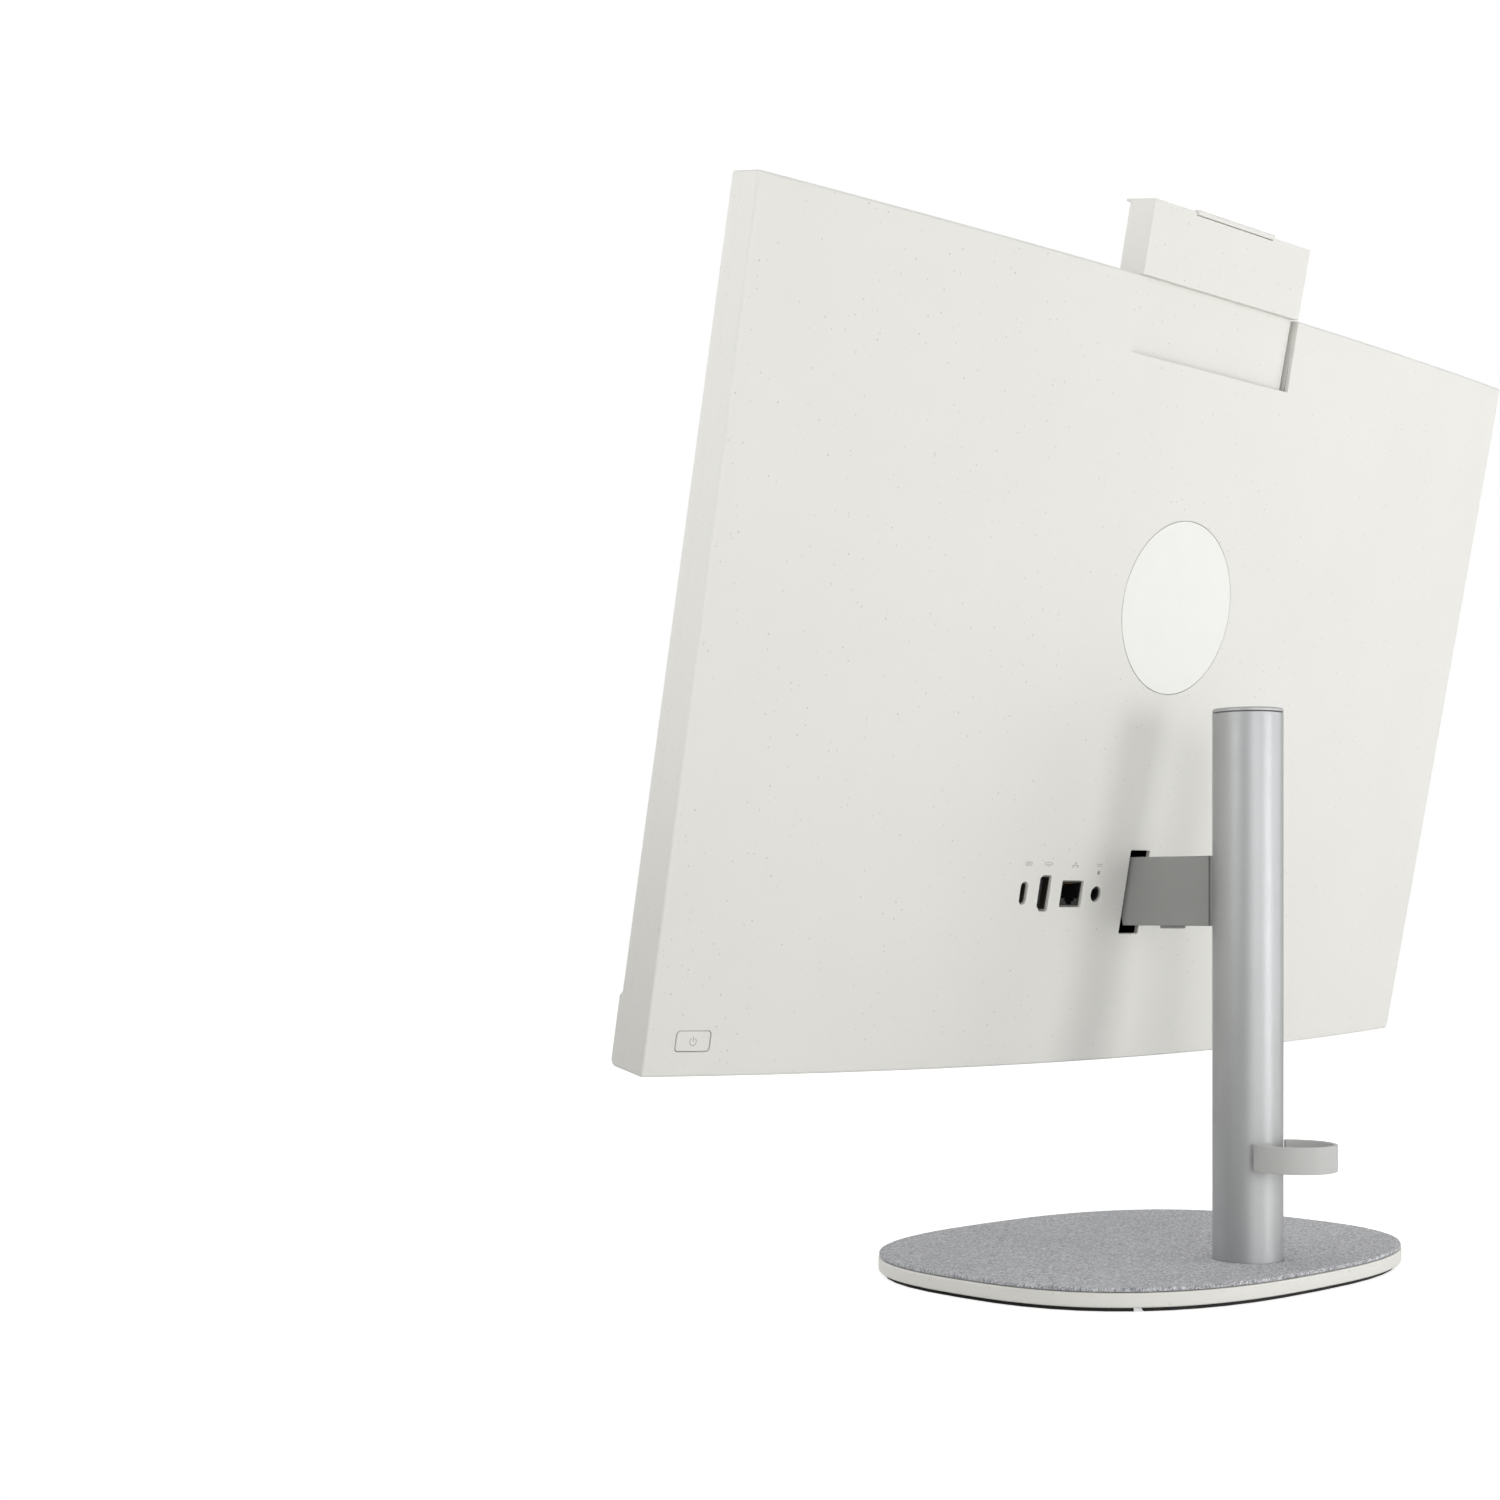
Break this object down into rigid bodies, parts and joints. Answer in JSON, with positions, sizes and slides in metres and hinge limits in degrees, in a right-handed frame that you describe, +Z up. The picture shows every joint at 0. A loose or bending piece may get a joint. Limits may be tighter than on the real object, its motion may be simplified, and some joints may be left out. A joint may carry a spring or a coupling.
{
  "type": "all-in-one computer",
  "caption": "Desktop computer with a thin curved-back tilting display head, a pop-up camera, rear sockets and a round column stand on a felt-topped base.",
  "frame": {"origin": "on the desk, under the middle of the whole computer", "axes": "+Z up, the screen faces -Y, +X to the right of someone facing the screen"},
  "size_m": [0.5404, 0.1976, 0.4745],
  "materials": {
    "off_white_plastic": "fine matt texture, flecked recycled plastic",
    "gloss_white_plastic": "gloss moulded disc",
    "satin_aluminium": "bead-blasted, clear anodised",
    "grey_die_cast": "satin grey paint on zinc die casting",
    "grey_clip_plastic": "satin moulded",
    "grey_felt": "melange felt",
    "black_rubber": "moulded",
    "plated_steel": "zinc plated",
    "black_coated_steel": "black electro-coat on pressed steel",
    "black_panel": "black moulded panel frame",
    "screen_glass": "polished cover glass over a dark screen",
    "black_plastic": "moulded",
    "socket_metal": "bright plated shell",
    "circuit_board": "solder resist over glass-epoxy board",
    "copper": "bare copper",
    "lens_glass": "coated lens"
  },
  "bodies": {
    "stand": {"base_tray": "off_white_plastic", "base_weight": "plated_steel", "base_felt": "grey_felt", "foot_strip_1": "black_rubber", "foot_strip_2": "black_rubber", "foot_strip_3": "black_rubber", "foot_strip_4": "black_rubber", "column_tube": "satin_aluminium", "column_cap": "satin_aluminium", "column_foot_plug": "plated_steel", "column_bolt": "plated_steel", "arm_anchor": "plated_steel", "arm_pin": "plated_steel", "stand_arm": "grey_die_cast", "hinge_shaft": "plated_steel", "hinge_washer_left": "plated_steel", "hinge_washer_right": "plated_steel", "hinge_nut_left": "plated_steel", "hinge_nut_right": "plated_steel", "cable_clip": "grey_clip_plastic"},
    "head": {"button_board": "circuit_board", "camera_rail_left": "black_plastic", "camera_rail_right": "black_plastic", "chassis_plate": "black_coated_steel", "chin_bar": "off_white_plastic", "coin_cell": "socket_metal", "cold_plate": "copper", "display_glass": "screen_glass", "ethernet_port": "socket_metal", "fan_housing": "black_plastic", "fin_stack": "copper", "front_frame": "off_white_plastic", "hdmi_port": "socket_metal", "heat_pipe": "copper", "hinge_bracket_left": "black_coated_steel", "hinge_bracket_right": "black_coated_steel", "io_board": "circuit_board", "io_carrier": "black_plastic", "lcd_panel": "black_panel", "mainboard": "circuit_board", "memory_module_1": "circuit_board", "memory_module_2": "circuit_board", "power_jack": "black_plastic", "processor": "black_panel", "rear_badge": "gloss_white_plastic", "rear_cover": "off_white_plastic", "speaker_left": "black_plastic", "speaker_right": "black_plastic", "storage_drive": "black_plastic", "usb_c_port": "socket_metal", "wireless_card": "socket_metal"},
    "camera": {"camera_housing": "off_white_plastic", "camera_cap": "off_white_plastic", "camera_face": "black_plastic", "camera_lens": "lens_glass", "infrared_lens": "lens_glass", "camera_board": "circuit_board"},
    "latch": {"release_latch": "grey_die_cast"},
    "button": {"power_button": "off_white_plastic"},
    "fan": {"fan_rotor": "black_plastic"}
  },
  "joints": [
    {"name": "head_tilt", "type": "hinge", "parent": "stand", "child": "head", "pos_m": [0, -0.01435, 0.1744], "axis": [-1, 0, 0], "range_deg": [-16.85, 8.15]},
    {"name": "camera_slide", "type": "slide", "parent": "head", "child": "camera", "axis": [0, 0.2053, 0.9787], "range_m": [-0.0323, 0]},
    {"name": "power_button_press", "type": "slide", "parent": "head", "child": "button", "axis": [-0.1329, -0.97, 0.2035], "range_m": [0, 0.0008], "stiffness_N_per_m": 900},
    {"name": "fan_spin", "type": "hinge", "parent": "head", "child": "fan", "pos_m": [-0.15, 0.00271, 0.34289], "axis": [0, 0.9787, -0.2053], "continuous": true},
    {"name": "latch_press", "type": "slide", "parent": "stand", "child": "latch", "axis": [0, 0, 1], "range_m": [0, 0.001], "stiffness_N_per_m": 900}
  ]
}
